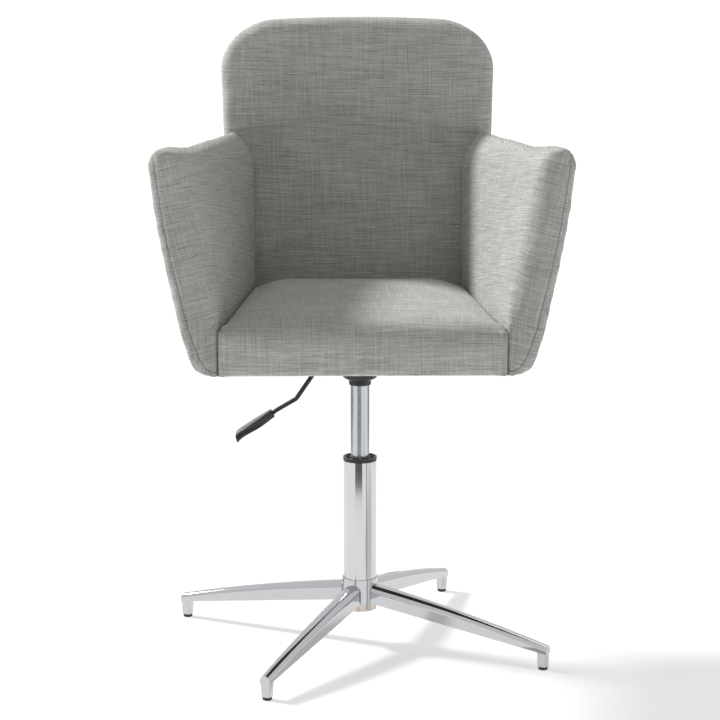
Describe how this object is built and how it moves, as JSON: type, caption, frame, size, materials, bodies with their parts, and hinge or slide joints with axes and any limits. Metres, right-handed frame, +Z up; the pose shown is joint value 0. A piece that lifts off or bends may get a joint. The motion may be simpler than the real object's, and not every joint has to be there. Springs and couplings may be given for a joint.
{
  "type": "swivel gas-lift armchair",
  "caption": "Upholstered armchair that swivels and rises on a gas-lift column above a low star base with fixed glides, with a height lever under the seat.",
  "frame": {"origin": "on the floor, on the axis of the column", "axes": "+Z up, the chair faces -Y, +X to the right seen from the front"},
  "size_m": [0.604, 0.5552, 0.926],
  "materials": {
    "polished_metal": "polished",
    "chrome_tube": "polished",
    "satin_steel": "satin",
    "zinc_steel": "satin",
    "bearing_steel": "polished",
    "cast_aluminium": "satin",
    "black_plastic": "satin",
    "gloss_black_plastic": "gloss",
    "black_steel": "satin",
    "black_rubber": "matte",
    "nylon": "satin",
    "plywood": "matte",
    "upholstery": "matte",
    "dust_cloth": "matte"
  },
  "bodies": {
    "base": {"base_hub": "polished_metal", "leg_right": "polished_metal", "leg_rear": "polished_metal", "leg_left": "polished_metal", "leg_front": "polished_metal", "leg_screws": "zinc_steel", "glide_right": "black_plastic", "glide_rear": "black_plastic", "glide_left": "black_plastic", "glide_front": "black_plastic", "column_tube": "chrome_tube", "column_bottom_plate": "zinc_steel", "guide_bushing": "black_plastic", "thrust_washer_lower": "bearing_steel"},
    "bearing_cage": {"thrust_cage": "nylon", "thrust_balls": "bearing_steel"},
    "rod": {"piston_rod": "bearing_steel", "piston": "cast_aluminium", "piston_seal": "black_rubber", "thrust_washer_upper": "bearing_steel", "bump_stop": "black_rubber", "rod_clip": "zinc_steel"},
    "seat": {"pressure_tube": "satin_steel", "inner_cylinder": "bearing_steel", "end_guide": "nylon", "rod_seal": "black_rubber", "valve_body": "cast_aluminium", "funnel_cover": "black_plastic", "taper_socket": "black_steel", "mechanism_housing": "black_steel", "mount_plate": "black_steel", "lever_pivot_pin": "zinc_steel", "mount_screws": "zinc_steel", "tee_nuts": "zinc_steel", "seat_board": "plywood", "arm_frame_left": "plywood", "arm_frame_right": "plywood", "back_frame": "plywood", "frame_screws": "zinc_steel", "seat_cushion": "upholstery", "back_cushion": "upholstery", "arm_cushion_left": "upholstery", "arm_cushion_right": "upholstery", "dust_cover": "dust_cloth", "staples": "zinc_steel"},
    "pin": {"release_pin": "bearing_steel"},
    "lever": {"lever_rod": "black_steel", "lever_handle": "gloss_black_plastic"}
  },
  "joints": [
    {"name": "swivel", "type": "hinge", "parent": "base", "child": "rod", "pos_m": [0, 0, 0.08], "axis": [0, 0, 1], "continuous": true},
    {"name": "cage_spin", "type": "hinge", "parent": "base", "child": "bearing_cage", "pos_m": [0, 0, 0.0775], "axis": [0, 0, 1], "continuous": true},
    {"name": "lift", "type": "slide", "parent": "rod", "child": "seat", "axis": [0, 0, 1], "range_m": [-0.1, 0]},
    {"name": "lever_pivot", "type": "hinge", "parent": "seat", "child": "lever", "pos_m": [-0.03, 0, 0.455], "axis": [0, 1, 0], "range_deg": [0, 6], "stiffness_Nm_per_rad": 1.5, "springref_deg": -2.86},
    {"name": "pin_press", "type": "slide", "parent": "seat", "child": "pin", "axis": [0, 0, -1], "range_m": [0, 0.0034]}
  ],
  "couplings": [
    {"joint": "cage_spin", "follows": "swivel", "ratio": 0.5},
    {"joint": "pin_press", "follows": "lever_pivot", "m_per_rad": 0.03}
  ]
}
